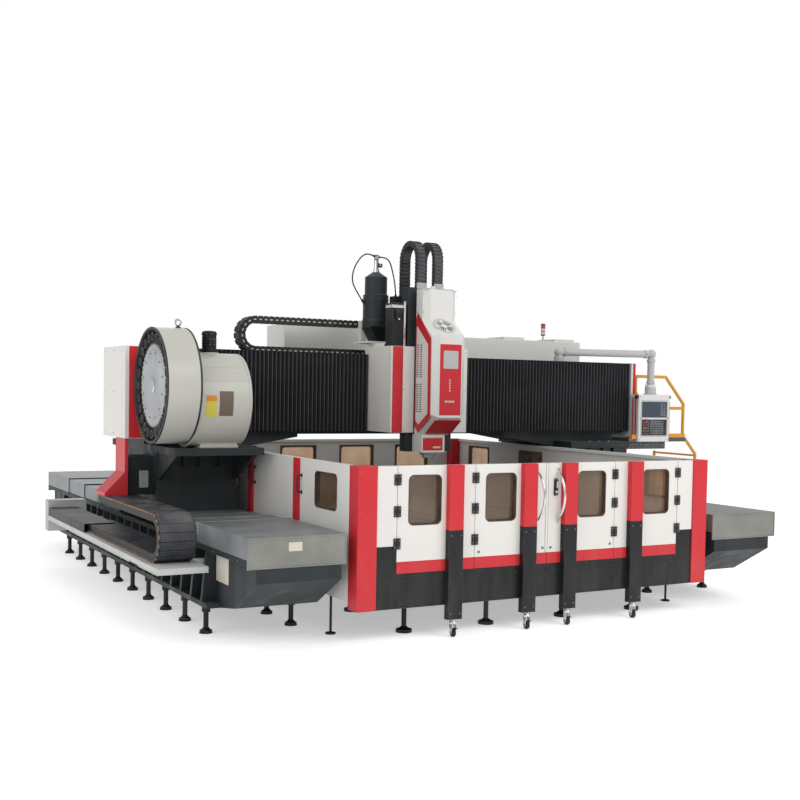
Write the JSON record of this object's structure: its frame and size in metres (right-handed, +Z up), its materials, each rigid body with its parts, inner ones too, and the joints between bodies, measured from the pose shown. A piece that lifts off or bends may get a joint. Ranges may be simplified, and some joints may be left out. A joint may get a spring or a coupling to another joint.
{
  "type": "double column machining center",
  "caption": "Moving-gantry milling machine on two covered beds, with a table enclosure, tool drum, ram and pendant.",
  "frame": {"origin": "on the floor, under the middle of the footprint", "axes": "+X right along the crossbeam, +Y back along the beds away from the doors, +Z up"},
  "size_m": [7.564, 7.271, 3.6159],
  "materials": {
    "casting": "dark paint, satin",
    "dark": "black paint, satin",
    "white": "white paint, satin",
    "grey": "light grey paint, satin",
    "red": "red paint, semi-gloss",
    "cover": "grey-olive sheet, satin",
    "steel": "machined",
    "chrome": "polished",
    "glass": "brown tinted",
    "rubber": "matt",
    "plastic": "matt black",
    "fabric": "coated folds",
    "yellow": "orange-yellow paint"
  },
  "bodies": {
    "base": {"left_bed": "casting", "right_bed": "casting", "machine_feet": "steel", "fixed_way_covers": "cover", "cover_end_plates": "cover", "table_base": "casting", "worktable": "steel", "chip_pans": "steel", "outer_door_leaves": "white", "inner_door_leaves": "white", "door_posts": "red", "door_casters": "chrome", "door_hinges": "steel", "door_handles": "chrome", "front_side_panels": "white", "corner_posts": "white", "side_walls": "white", "back_wall": "white", "windows": "glass", "wall_trims": "red", "cable_tray": "grey"},
    "gantry": {"left_column": "casting", "right_column": "casting", "carriage_way_covers": "cover", "crossbeam": "casting", "beam_end_covers": "white", "chain_boot": "red", "rear_cabinet": "white", "signal_lamp": "red", "magazine_drum": "grey", "magazine_motor": "dark", "access_platform": "dark", "front_guard_rail": "yellow", "rear_guard_rail": "yellow", "ladder": "yellow", "left_bellows": "fabric", "right_bellows": "fabric", "bed_chain": "plastic", "beam_chain": "plastic"},
    "front_cover_1": {"front_way_cover_1": "cover"},
    "front_cover_2": {"front_way_cover_2": "cover"},
    "rear_cover_1": {"rear_way_cover_1": "cover"},
    "rear_cover_2": {"rear_way_cover_2": "cover"},
    "pendant_arm": {"pendant_arm": "grey"},
    "pendant_box": {"pendant_box": "white"},
    "magazine_disc": {"tool_disc": "steel"},
    "saddle": {"saddle": "casting", "z_drive": "dark", "chain_mast": "dark", "gas_bottle": "dark", "long_hose": "rubber", "short_hose": "rubber", "ram_chains": "plastic"},
    "ram": {"ram_slide": "casting", "head_cover": "white", "spindle_box": "white"},
    "spindle": {"spindle_nose": "steel"}
  },
  "joints": [
    {"name": "gantry_travel", "type": "slide", "parent": "base", "child": "gantry", "axis": [0, 1, 0], "range_m": [-1.04, 2.125], "deforming": ["bed_chain"]},
    {"name": "front_cover_1_travel", "type": "slide", "parent": "base", "child": "front_cover_1", "axis": [0, 1, 0], "range_m": [-0.34677, 0.70843]},
    {"name": "front_cover_2_travel", "type": "slide", "parent": "base", "child": "front_cover_2", "axis": [0, 1, 0], "range_m": [-0.69343, 1.41677]},
    {"name": "rear_cover_1_travel", "type": "slide", "parent": "base", "child": "rear_cover_1", "axis": [0, 1, 0], "range_m": [-0.34677, 0.70843]},
    {"name": "rear_cover_2_travel", "type": "slide", "parent": "base", "child": "rear_cover_2", "axis": [0, 1, 0], "range_m": [-0.69343, 1.41677]},
    {"name": "saddle_travel", "type": "slide", "parent": "gantry", "child": "saddle", "axis": [1, 0, 0], "range_m": [-1.34, 1.46], "deforming": ["beam_chain", "left_bellows", "right_bellows"]},
    {"name": "ram_travel", "type": "slide", "parent": "saddle", "child": "ram", "axis": [0, 0, 1], "range_m": [-0.52, 0.25], "deforming": ["ram_chains"]},
    {"name": "spindle_turn", "type": "hinge", "parent": "ram", "child": "spindle", "pos_m": [-0.567, -1.5845, 1.44], "axis": [0, 0, 1], "continuous": true},
    {"name": "magazine_turn", "type": "hinge", "parent": "gantry", "child": "magazine_disc", "pos_m": [-3.412, -1.5745, 2.07], "axis": [1, 0, 0], "continuous": true},
    {"name": "pendant_swing", "type": "hinge", "parent": "gantry", "child": "pendant_arm", "pos_m": [1.61, -0.8545, 2.46], "axis": [0, 0, 1], "range_deg": [-72, 0]},
    {"name": "pendant_turn", "type": "hinge", "parent": "pendant_arm", "child": "pendant_box", "pos_m": [2.728, -1.1845, 2.19], "axis": [0, 0, 1], "range_deg": [-10, 90]}
  ],
  "couplings": [
    {"joint": "front_cover_1_travel", "follows": "gantry_travel", "ratio": 0.33333},
    {"joint": "front_cover_2_travel", "follows": "gantry_travel", "ratio": 0.66667},
    {"joint": "rear_cover_1_travel", "follows": "gantry_travel", "ratio": 0.33333},
    {"joint": "rear_cover_2_travel", "follows": "gantry_travel", "ratio": 0.66667}
  ]
}
